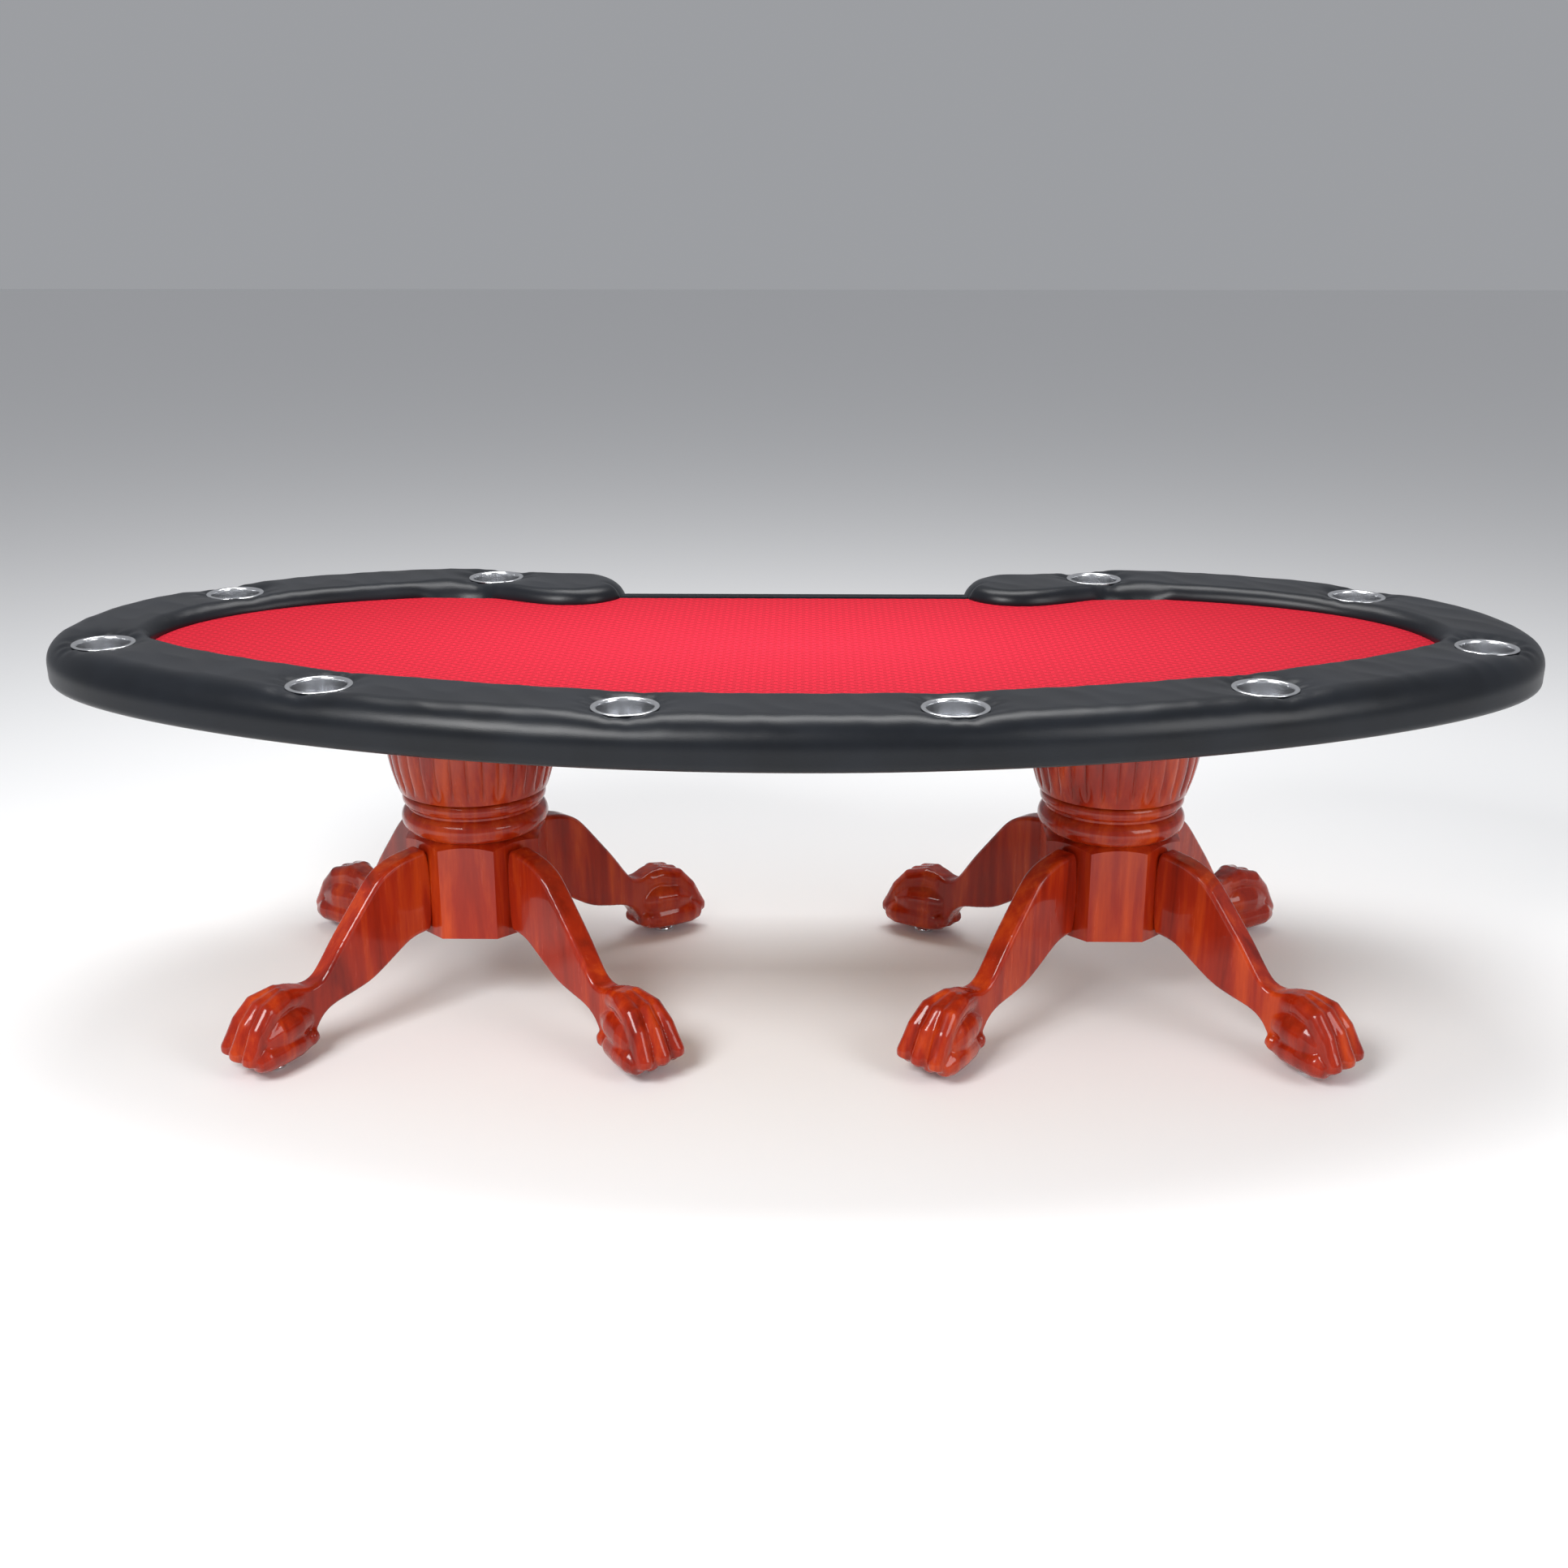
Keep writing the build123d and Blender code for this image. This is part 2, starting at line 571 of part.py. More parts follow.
with BuildPart() as leg:
    with BuildSketch(Plane.XZ.offset(-LEG_THICKNESS / 2)):
        with BuildLine():
            Polyline((HUB_APOTHEM, 172), (HUB_APOTHEM, 338), (158, 333))
            ThreePointArc((158, 333), (206, 322), (240, 300))
            Line((240, 300), (352, 158))
            ThreePointArc((352, 158), (376, 138), (404, 130))
            Polyline((404, 130), (468, 128), (500, 90), (520, 40), (515, PAW_SOLE_Z), (426, PAW_SOLE_Z))
            ThreePointArc((426, PAW_SOLE_Z), (398, 22), (383, 46))
            ThreePointArc((383, 46), (372, 76), (346, 93))
            Line((346, 93), (300, 104))
            ThreePointArc((300, 104), (222, 138), (166, 172))
            Line((166, 172), (HUB_APOTHEM, 172))
        make_face()
    extrude(amount=LEG_THICKNESS)
    slope = [edge for edge in edges().filter_by(GeomType.LINE) if edge.length > 150]
    chamfer(slope, 3)
    for piece in toes:
        add(piece)
    with Locations((GLIDE_R, 0, 0)):
        Cylinder(
            INSERT_RADIUS + 0.05, PAW_SOLE_Z + INSERT_LENGTH + 20, align=(Align.CENTER, Align.CENTER, Align.MIN),
            mode=Mode.SUBTRACT,
        )
    for level in BOLT_LEVELS:
        with Locations(Location((HUB_APOTHEM - 2, 0, level), (0, 90, 0))):
            Cylinder(
                BOLT_SLOT, BOLT_TIP_R - HUB_APOTHEM + 4, align=(Align.CENTER, Align.CENTER, Align.MIN),
                mode=Mode.SUBTRACT,
            )

with BuildPart() as glide_insert:
    with BuildSketch(Plane.XY.offset(PAW_SOLE_Z)):
        with Locations((GLIDE_R, 0)):
            Circle(INSERT_RADIUS)
            Circle(INSERT_BORE, mode=Mode.SUBTRACT)
    extrude(amount=INSERT_LENGTH)

with BuildPart() as glide:
    with BuildSketch(Plane.XZ):
        with BuildLine():
            disc_top = PAW_SOLE_Z - 0.8
            Polyline((0, 0), (GLIDE_RADIUS - 2, 0), (GLIDE_RADIUS, 2), (GLIDE_RADIUS, 5))
            ThreePointArc((GLIDE_RADIUS, 5), (GLIDE_RADIUS - 3, 9.5), (GLIDE_RADIUS - 9, disc_top))
            Polyline(
                (GLIDE_RADIUS - 9, disc_top),
                (STEM_RADIUS, disc_top),
                (STEM_RADIUS, disc_top + STEM_LENGTH),
                (0, disc_top + STEM_LENGTH),
                (0, 0),
            )
        make_face()
    revolve(axis=Axis.Z)

LEG_NAMES = {
    ("left", "front_left"): "front_outer",
    ("left", "front_right"): "front_inner",
    ("left", "back_left"): "back_outer",
    ("left", "back_right"): "back_inner",
    ("right", "front_right"): "front_outer",
    ("right", "front_left"): "front_inner",
    ("right", "back_right"): "back_outer",
    ("right", "back_left"): "back_inner",
}
inserts = []
for (side, corner), spot in LEG_NAMES.items():
    turned = SIDES[side] * Location((0, 0, 0), (0, 0, leg_turns[corner]))
    save(leg.part, f"{side}_leg_{spot}", turned)
    save(glide.part, f"{side}_glide_{spot}", turned * Location((GLIDE_R, 0, 0)))
    inserts.append(glide_insert.part.moved(turned))
save(Compound(children=inserts), "glide_inserts")

print("oval shift", round(SHIFT_Y, 2), "rail end centre", END_X, round(END_Y, 1))
for number, (x, y) in enumerate(CUP_PLACES, 1):
    print("cup", number, round(x, 1), round(y, 1))
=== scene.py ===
# %% [markdown]
# # Oval card table
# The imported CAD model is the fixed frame. Soft, turned and carved pieces are built here from numpy arrays and
# stand for their plain CAD solids. Everything is in metres, +Z up, with the dealer's side at +Y.

# %% Load the frame
import json
import math
import bmesh
import bpy
import numpy as np
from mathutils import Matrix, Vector


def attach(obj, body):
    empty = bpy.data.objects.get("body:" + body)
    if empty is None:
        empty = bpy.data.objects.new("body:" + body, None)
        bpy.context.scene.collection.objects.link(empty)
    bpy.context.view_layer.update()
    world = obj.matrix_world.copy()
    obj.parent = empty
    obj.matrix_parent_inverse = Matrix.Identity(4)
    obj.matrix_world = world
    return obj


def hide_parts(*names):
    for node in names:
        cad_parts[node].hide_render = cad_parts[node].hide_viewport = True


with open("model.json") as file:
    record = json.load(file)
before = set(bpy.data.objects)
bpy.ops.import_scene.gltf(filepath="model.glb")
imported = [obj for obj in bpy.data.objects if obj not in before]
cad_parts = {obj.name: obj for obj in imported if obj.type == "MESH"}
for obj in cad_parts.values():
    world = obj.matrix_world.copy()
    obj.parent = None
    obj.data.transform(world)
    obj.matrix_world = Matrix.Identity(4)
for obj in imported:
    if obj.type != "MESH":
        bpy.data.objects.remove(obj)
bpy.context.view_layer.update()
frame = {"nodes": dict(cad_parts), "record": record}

# %% [markdown]
# The table's plan is a C-shaped rail round an oval. The rail's middle line is an ellipse of half-axes A and B
# whose height is scaled by 1 - k cos(t)^2, narrower on the players' side. The rail's two ends beside the
# dealer turn in and finish in round bulbs.

# %% The rail's plan
A, B, FRONT_K, BACK_K = 1.27875, 0.51675, 0.20, -0.30
SHIFT = (0.6095 - 0.56784) / 2
END_X, DRAW_X, END_DRAW, END_R, HALF = 0.451, 0.690, 0.0916, 0.106, 0.09275
Z_TOP, Z_CLOTH, Z_SKIRT, Z_FLANGE = 0.737, 0.707, 0.649, 0.728
DEALER_Y = 0.369 + SHIFT
CUP_ANGLES = np.radians([61.0, 28.9, -14.0, -52.2, -78.1])


def oval(t, offset):
    """Points of the oval at angles t, moved outwards along its normal by an offset."""
    k = np.where(np.sin(t) < 0, FRONT_K, BACK_K)
    c, s = np.cos(t), np.sin(t)
    x, y = A * c, B * s * (1 - k * c * c)
    dx, dy = -A * s, B * (c * (1 - k * c * c) + 2 * k * c * s * s)
    n = np.hypot(dx, dy)
    return x + offset * dy / n, y - offset * dx / n


def draw(x, y):
    """Smooth share from 0 at DRAW_X to 1 at END_X, on the dealer's side only."""
    s = np.clip((DRAW_X - np.abs(x)) / (DRAW_X - END_X), 0, 1)
    return np.where(y > 0, s * s * (3 - 2 * s), 0)


def end_angle(offset):
    """The angle at which the offset oval reaches END_X, by halving."""
    low, high = math.radians(20), math.radians(90)
    for _ in range(50):
        mid = (low + high) / 2
        low, high = (mid, high) if oval(np.array([mid]), offset)[0][0] > END_X else (low, mid)
    return low


END_Y = float(oval(np.array([end_angle(0)]), 0)[1][0]) - END_DRAW + SHIFT


def rail_line(share, offset, end_offset):
    """Points of one rail line. share runs from -1 at the left rail end to 1 at the right one."""
    finish = end_angle(offset)
    t = -math.pi / 2 + np.abs(share) * (finish + math.pi / 2)
    x, y = oval(t, offset)
    top = oval(np.array([finish]), offset)[1][0] + SHIFT
    y = y + SHIFT - (top - END_Y - end_offset) * draw(x, y)
    return np.sign(share + 1e-12) * x, y


def smooth(a, b, v):
    """0 below a, 1 above b, smooth between."""
    s = np.clip((v - a) / (b - a), 0, 1)
    return s * s * (3 - 2 * s)


print("rail ends at y", round(END_Y, 4))

# %% [markdown]
# The cups sit on the rail's middle line. Five angles give the right half's places, and the left half mirrors
# them, because the real table is the same on both sides.

# %% Cup places
middle = oval(CUP_ANGLES, 0)
right = np.stack([middle[0], middle[1] + SHIFT - END_DRAW * draw(*middle)], 1)
left = right * [-1, 1]
CUPS = np.concatenate([left, right[::-1]])
print("cups", np.round(CUPS, 3).tolist())

# %% [markdown]
# Every new piece is a set of points worked out with numpy. One helper joins a grid of points into quads, and
# the other turns a profile round a vertical axis, as a lathe does.

# %% Mesh helpers


def grid_mesh(name, pts, body, close_u=False, flip=False, drop=None, merge=0.0):
    """A smooth mesh of quads from an array of points (rows u, columns v, 3). drop marks quads to leave out,
    and points closer together than merge are joined."""
    nu, nv = pts.shape[:2]
    i = np.arange(nu if close_u else nu - 1)[:, None]
    j = np.arange(nv - 1)[None, :]
    a, b = i * nv + j, ((i + 1) % nu) * nv + j
    quads = np.stack([a, b, b + 1, a + 1], -1).reshape(-1, 4)
    if flip:
        quads = quads[:, ::-1]
    if drop is not None:
        quads = quads[~drop.reshape(-1)]
    me = bpy.data.meshes.new(name)
    me.from_pydata(pts.reshape(-1, 3).tolist(), [], quads.tolist())
    me.polygons.foreach_set("use_smooth", np.ones(len(me.polygons), bool))
    ob = bpy.data.objects.new(name, me)
    bpy.context.scene.collection.objects.link(ob)
    if merge:
        bm = bmesh.new()
        bm.from_mesh(me)
        bmesh.ops.remove_doubles(bm, verts=bm.verts, dist=merge)
        loose = [v for v in bm.verts if not v.link_faces]
        bmesh.ops.delete(bm, geom=loose, context="VERTS")
        bm.to_mesh(me)
        bm.free()
    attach(ob, body)
    return ob


def lathe(name, profile, centre, body, around=96, radial=None):
    """Turns (r, z) points round the vertical axis at centre. radial(angle, r, z) may change the radius."""
    ang = np.linspace(0, 2 * np.pi, around, endpoint=False)[:, None]
    r, z = np.array(profile, float).T
    rr = np.broadcast_to(r, (around, len(r)))
    zz = np.broadcast_to(z, (around, len(z)))
    rr = radial(ang, rr, zz) if radial else rr
    pts = np.stack([centre[0] + rr * np.cos(ang), centre[1] + rr * np.sin(ang), zz], -1)
    return grid_mesh(name, pts, body, close_u=True)


print("mesh helpers ready")

# %% [markdown]
# ## Shader groups
# Each finish is built from a few shared groups. They read object coordinates in metres, so the detail has its
# real size on every piece. The helpers below make materials, groups and Math nodes in one line each.

# %% Shader helpers


def mat(name, base, roughness=0.5, metallic=0.0, **fixed):
    """A Principled material. fixed sets more of its sockets, such as Coat_Weight=0.5."""
    m = bpy.data.materials.new(name)
    m.use_nodes = True
    b = m.node_tree.nodes["Principled BSDF"]
    b.inputs["Base Color"].default_value = (*base, 1)
    b.inputs["Roughness"].default_value = roughness
    b.inputs["Metallic"].default_value = metallic
    for key, value in fixed.items():
        b.inputs[key.replace("_", " ")].default_value = value
    return m, m.node_tree.nodes, m.node_tree.links, b


def new_group(name, inputs, outputs):
    """A shader node group with named sockets, returned with its nodes, links, input and output."""
    g = bpy.data.node_groups.new(name, "ShaderNodeTree")
    for label, kind, value in inputs:
        s = g.interface.new_socket(label, in_out="INPUT", socket_type=kind)
        s.default_value = value
    for label, kind in outputs:
        g.interface.new_socket(label, in_out="OUTPUT", socket_type=kind)
    n = g.nodes
    return g, n, g.links, n.new("NodeGroupInput"), n.new("NodeGroupOutput")


def ramp(nodes, stops):
    """A Color Ramp through (position, colour) stops."""
    r = nodes.new("ShaderNodeValToRGB")
    r.color_ramp.elements[0].position, r.color_ramp.elements[0].color = stops[0][0], (*stops[0][1], 1)
    r.color_ramp.elements[1].position, r.color_ramp.elements[1].color = stops[-1][0], (*stops[-1][1], 1)
    for pos, col in stops[1:-1]:
        e = r.color_ramp.elements.new(pos)
        e.color = (*col, 1)
    return r


def calc(nodes, links, op, a, b=None):
    """A Math node. a and b are sockets or numbers."""
    node = nodes.new("ShaderNodeMath")
    node.operation = op
    for k, v in enumerate((a, b)):
        if v is None:
            continue
        if isinstance(v, (int, float)):
            node.inputs[k].default_value = v
        else:
            links.new(v, node.inputs[k])
    return node.outputs[0]


def use(nodes, group, **values):
    """Places a shared group in a material and sets its sockets."""
    node = nodes.new("ShaderNodeGroup")
    node.node_tree = group
    for key, value in values.items():
        node.inputs[key.replace("_", " ")].default_value = value
    return node


def bump(nodes, links, bsdf, height, strength, distance):
    """Feeds a height to the shader's normal. distance is the relief in metres."""
    node = nodes.new("ShaderNodeBump")
    node.inputs["Strength"].default_value = strength
    node.inputs["Distance"].default_value = distance
    links.new(height, node.inputs["Height"])
    links.new(node.outputs[0], bsdf.inputs["Normal"])


print("shader helpers ready")

# %% [markdown]
# Wood grain: noise stretched along one axis gives the slow figure of the wood, and a finer noise on the same
# stretched coordinates gives its fibres.

# %% Group: wood grain
grain, n, k, gi, go = new_group(
    "wood_grain",
    [("Stretch", "NodeSocketVector", (14.0, 14.0, 1.6)), ("Fibre Scale", "NodeSocketFloat", 6.0)],
    [("Figure", "NodeSocketFloat"), ("Fibre", "NodeSocketFloat")],
)
tc = n.new("ShaderNodeTexCoord")
mul = n.new("ShaderNodeVectorMath")
mul.operation = "MULTIPLY"
k.new(tc.outputs["Object"], mul.inputs[0])
k.new(gi.outputs["Stretch"], mul.inputs[1])
figure = n.new("ShaderNodeTexNoise")
figure.inputs["Scale"].default_value = 1.0
figure.inputs["Detail"].default_value = 6
figure.inputs["Distortion"].default_value = 1.2
k.new(mul.outputs[0], figure.inputs["Vector"])
fibre = n.new("ShaderNodeTexNoise")
fibre.inputs["Detail"].default_value = 8
fibre.inputs["Roughness"].default_value = 0.7
k.new(gi.outputs["Fibre Scale"], fibre.inputs["Scale"])
k.new(mul.outputs[0], fibre.inputs["Vector"])
k.new(figure.outputs[0], go.inputs["Figure"])
k.new(fibre.outputs[0], go.inputs["Fibre"])
print("group", grain.name)

# %% [markdown]
# Leatherette: a Voronoi cell pattern about a millimetre across gives the pressed grain, and a slower noise
# makes its gloss uneven.

# %% Group: leatherette
leather, n, k, gi, go = new_group(
    "leatherette",
    [("Grain Scale", "NodeSocketFloat", 900.0)],
    [("Height", "NodeSocketFloat"), ("Wear", "NodeSocketFloat")],
)
tc = n.new("ShaderNodeTexCoord")
cells = n.new("ShaderNodeTexVoronoi")
cells.feature = "SMOOTH_F1"
k.new(gi.outputs["Grain Scale"], cells.inputs["Scale"])
k.new(tc.outputs["Object"], cells.inputs["Vector"])
slow = n.new("ShaderNodeTexNoise")
slow.inputs["Scale"].default_value = 7.0
slow.inputs["Detail"].default_value = 5
k.new(tc.outputs["Object"], slow.inputs["Vector"])
k.new(cells.outputs["Distance"], go.inputs["Height"])
k.new(slow.outputs[0], go.inputs["Wear"])
print("group", leather.name)

# %% [markdown]
# Card cloth: short wavy dashes in staggered rows, woven in. The rows bend with a sine wave. Each is cut into
# dashes at equal steps, and every second row is moved along by half a step.

# %% Group: card cloth weave
THREADS = 5200.0
weave, n, k, gi, go = new_group(
    "card_cloth",
    [("Row", "NodeSocketFloat", 0.011), ("Dash", "NodeSocketFloat", 0.026)],
    [("Pattern", "NodeSocketFloat"), ("Thread", "NodeSocketFloat"), ("Painted Shade", "NodeSocketFloat")],
)
tc = n.new("ShaderNodeTexCoord")
xyz = n.new("ShaderNodeSeparateXYZ")
k.new(tc.outputs["Object"], xyz.inputs[0])
X, Y = xyz.outputs["X"], xyz.outputs["Y"]
along = calc(n, k, "DIVIDE", X, gi.outputs["Dash"])
wavy = calc(n, k, "MULTIPLY", calc(n, k, "SINE", calc(n, k, "MULTIPLY", along, 2 * math.pi)), 0.22)
rows = calc(n, k, "ADD", calc(n, k, "DIVIDE", Y, gi.outputs["Row"]), wavy)
index = calc(n, k, "FLOOR", rows)
across = calc(n, k, "ABSOLUTE", calc(n, k, "SUBTRACT", calc(n, k, "FRACT", rows), 0.5))
stagger = calc(n, k, "MULTIPLY", calc(n, k, "MODULO", index, 2.0), 0.5)
part = calc(n, k, "FRACT", calc(n, k, "ADD", calc(n, k, "ADD", along, stagger), 400.0))
inside = calc(n, k, "ABSOLUTE", calc(n, k, "SUBTRACT", part, 0.5))
line = calc(n, k, "LESS_THAN", across, 0.2)
dash = calc(n, k, "LESS_THAN", inside, 0.38)
k.new(calc(n, k, "MULTIPLY", line, dash), go.inputs["Pattern"])
threads = calc(n, k, "MULTIPLY", calc(n, k, "SINE", calc(n, k, "MULTIPLY", X, THREADS)),
               calc(n, k, "SINE", calc(n, k, "MULTIPLY", Y, THREADS)))
k.new(threads, go.inputs["Thread"])
# Painted shade mask: the distance from the middle of the oval, rising to 1 near the rail, darkens the cloth
# there as painted shade.
ex, ey = calc(n, k, "DIVIDE", X, 1.1), calc(n, k, "DIVIDE", Y, 0.42)
far = calc(n, k, "SQRT", calc(n, k, "ADD", calc(n, k, "MULTIPLY", ex, ex), calc(n, k, "MULTIPLY", ey, ey)))
k.new(calc(n, k, "MINIMUM", far, 1.0), go.inputs["Painted Shade"])
print("groups", [g.name for g in bpy.data.node_groups])

# %% [markdown]
# ## Finishes
# The carved wood has a cherry stain under deep gloss lacquer. The stain sits darker in the figure of the
# grain, and the clear coat is smooth, so highlights stay sharp.

# %% Lacquered cherry


def lacquer(name, stretch):
    """Stained wood whose stain, gloss and relief follow the grain, under a clear coat."""
    m, nn, ll, b = mat(name, (0.3, 0.03, 0.012), 0.3, Coat_Weight=0.5, Coat_Roughness=0.04,
                       Specular_IOR_Level=0.15)
    g = use(nn, grain, Stretch=stretch)
    r = ramp(nn, [(0.28, (0.13, 0.004, 0.001)), (0.5, (0.33, 0.018, 0.003)), (0.72, (0.60, 0.070, 0.006))])
    mix = calc(nn, ll, "ADD", calc(nn, ll, "MULTIPLY", g.outputs["Figure"], 0.75),
               calc(nn, ll, "MULTIPLY", g.outputs["Fibre"], 0.25))
    ll.new(mix, r.inputs[0])
    ll.new(r.outputs[0], b.inputs["Base Color"])
    rough = nn.new("ShaderNodeMapRange")
    rough.inputs["To Min"].default_value, rough.inputs["To Max"].default_value = 0.16, 0.34
    ll.new(g.outputs["Fibre"], rough.inputs["Value"])
    ll.new(rough.outputs[0], b.inputs["Roughness"])
    bump(nn, ll, b, g.outputs["Fibre"], 0.25, 0.0006)
    return m


cherry = lacquer("cherry_lacquer", (14.0, 14.0, 1.6))
print("finish", cherry.name)

# %% [markdown]
# Black leatherette is stretched over foam. It is satin, and a slow noise makes its gloss uneven. The strip at
# the dealer's edge has the same finish with less shine.

# %% Leatherette
vinyl, nn, ll, b = mat("black_leatherette", (0.010, 0.012, 0.017), 0.42, Specular_IOR_Level=0.30)
g = use(nn, leather)
r = ramp(nn, [(0.3, (0.004, 0.005, 0.007)), (0.7, (0.008, 0.010, 0.014))])
ll.new(g.outputs["Wear"], r.inputs[0])
ll.new(r.outputs[0], b.inputs["Base Color"])
rough = nn.new("ShaderNodeMapRange")
rough.inputs["To Min"].default_value, rough.inputs["To Max"].default_value = 0.27, 0.38
ll.new(g.outputs["Wear"], rough.inputs["Value"])
ll.new(rough.outputs[0], b.inputs["Roughness"])
bump(nn, ll, b, g.outputs["Height"], 0.35, 0.0004)

trim = vinyl.copy()
trim.name = "trim_leatherette"
trim.node_tree.nodes["Principled BSDF"].inputs["Specular IOR Level"].default_value = 0.08

print("finish", vinyl.name, trim.name)

# %% [markdown]
# The card cloth is a tight weave with little shine. Its red is painted lighter in the middle and deepens away
# from it, a painted pool of light with painted shade towards the rail, and the woven dashes are a darker red.

# %% Card cloth finish
cloth, nn, ll, b = mat("card_cloth", (0.5, 0.02, 0.015), 0.8, Specular_IOR_Level=0.2)
g = use(nn, weave)
# Painted light: the red is lighter in the middle and painted darker towards the rail, as shade.
painted_shade_ramp = ramp(nn, [(0.0, (0.70, 0.016, 0.045)), (1.0, (0.50, 0.006, 0.022))])
ll.new(g.outputs["Painted Shade"], painted_shade_ramp.inputs[0])
dashes = nn.new("ShaderNodeMix")
dashes.data_type = "RGBA"
dashes.blend_type = "MULTIPLY"
dashes.inputs[7].default_value = (0.60, 0.42, 0.48, 1)
ll.new(g.outputs["Pattern"], dashes.inputs[0])
ll.new(painted_shade_ramp.outputs[0], dashes.inputs[6])
ll.new(dashes.outputs[2], b.inputs["Base Color"])
height = calc(nn, ll, "ADD", calc(nn, ll, "MULTIPLY", g.outputs["Thread"], 0.4), g.outputs["Pattern"])
bump(nn, ll, b, height, 0.4, 0.0004)
print("finish", cloth.name)

# %% [markdown]
# Metals: the cups are spun stainless with fine turning lines, the glides are chromed, and the hidden
# fasteners are dull zinc.

# %% Metals


def metal(name, base, low, high, stretch):
    """Bare metal whose roughness runs from low to high along lines that stretch gives."""
    m, nn, ll, b = mat(name, base, low, 1.0)
    g = use(nn, grain, Stretch=stretch, Fibre_Scale=3.0)
    rough = nn.new("ShaderNodeMapRange")
    rough.inputs["To Min"].default_value, rough.inputs["To Max"].default_value = low, high
    ll.new(g.outputs["Fibre"], rough.inputs["Value"])
    ll.new(rough.outputs[0], b.inputs["Roughness"])
    tint = ramp(nn, [(0.3, tuple(0.86 * c for c in base)), (0.7, base)])
    ll.new(g.outputs["Figure"], tint.inputs[0])
    ll.new(tint.outputs[0], b.inputs["Base Color"])
    bump(nn, ll, b, g.outputs["Fibre"], 0.15, 0.0002)
    return m


stainless = metal("spun_stainless", (0.80, 0.81, 0.83), 0.14, 0.30, (40.0, 40.0, 900.0))
chrome = metal("chrome", (0.75, 0.76, 0.78), 0.05, 0.14, (60.0, 60.0, 60.0))
zinc = metal("zinc_steel", (0.5, 0.5, 0.47), 0.3, 0.5, (90.0, 90.0, 90.0))
brass = metal("brass", (0.6, 0.42, 0.16), 0.25, 0.4, (90.0, 90.0, 300.0))
print("metals", stainless.name, chrome.name, zinc.name, brass.name)

# %% [markdown]
# Boards under the cloth: birch plywood shows grain on its faces and plies on its edges, and fibreboard is
# fine and even.

# %% Boards and foam


def board(name, light, dark, ply):
    """A wooden board. Its edges get dark layers, with ply radians of a sine wave for each metre of height."""
    m, nn, ll, b = mat(name, light, 0.6)
    g = use(nn, grain, Stretch=(1.6, 14.0, 14.0))
    r = ramp(nn, [(0.3, dark), (0.7, light)])
    ll.new(g.outputs["Figure"], r.inputs[0])
    tc = nn.new("ShaderNodeTexCoord")
    xyz = nn.new("ShaderNodeSeparateXYZ")
    ll.new(tc.outputs["Object"], xyz.inputs[0])
    geo = nn.new("ShaderNodeNewGeometry")
    nz = nn.new("ShaderNodeSeparateXYZ")
    ll.new(geo.outputs["Normal"], nz.inputs[0])
    edge = calc(nn, ll, "LESS_THAN", calc(nn, ll, "ABSOLUTE", nz.outputs["Z"]), 0.5)
    wave = calc(nn, ll, "SINE", calc(nn, ll, "MULTIPLY", xyz.outputs["Z"], ply))
    layer = calc(nn, ll, "GREATER_THAN", wave, 0.2)
    mix = nn.new("ShaderNodeMix")
    mix.data_type = "RGBA"
    mix.inputs[7].default_value = (*[0.6 * c for c in dark], 1)
    ll.new(calc(nn, ll, "MULTIPLY", edge, layer), mix.inputs[0])
    ll.new(r.outputs[0], mix.inputs[6])
    ll.new(mix.outputs[2], b.inputs["Base Color"])
    bump(nn, ll, b, g.outputs["Fibre"], 0.3, 0.0004)
    return m


plywood = board("birch_plywood", (0.55, 0.38, 0.21), (0.40, 0.25, 0.13), 3600.0)
fibreboard = board("fibreboard", (0.36, 0.24, 0.14), (0.29, 0.19, 0.11), 100.0)
foam, nn, ll, b = mat("foam", (0.7, 0.64, 0.45), 0.9)
g = use(nn, leather, Grain_Scale=1400.0)
# Painted shade in the pores: where the cells dip, as the bump sinks them, the foam is painted darker.
r = ramp(nn, [(0.2, (0.5, 0.45, 0.3)), (0.8, (0.75, 0.7, 0.52))])
ll.new(g.outputs["Height"], r.inputs[0])
ll.new(r.outputs[0], b.inputs["Base Color"])
bump(nn, ll, b, g.outputs["Height"], 0.6, 0.001)
print("boards", plywood.name, fibreboard.name, "and", foam.name)

# %% [markdown]
# Each CAD node has a material slot in the frame's record, and the slot picks its finish. New pieces use the
# same slots.

# %% Finishes on the CAD nodes
FINISH = {"vinyl": vinyl, "edge_trim": trim, "cloth": cloth, "foam": foam, "plywood": plywood,
          "fibreboard": fibreboard, "zinc_steel": zinc, "brass_insert": brass, "stainless": stainless,
          "chrome": chrome, "cherry_lacquer": cherry}
scene = bpy.context.scene
slots = {s["node"]: s["material_slot"] for s in frame["record"]["subparts"]}
for name, node in frame["nodes"].items():
    node.data.materials.clear()
    node.data.materials.append(FINISH[slots[name]])


def finish(ob, slot):
    """Gives a piece the finish of a material slot."""
    ob.data.materials.append(FINISH[slot])
    return ob


print("nodes with a finish", len(frame["nodes"]))

# %% [markdown]
# ## The padded rail
# The real rail is foam on plywood with leatherette pulled tight over it. Each point of the outline is paired
# with a point on the rail's middle line. The surface climbs the skirt, rolls over the edge and runs level to
# the middle.

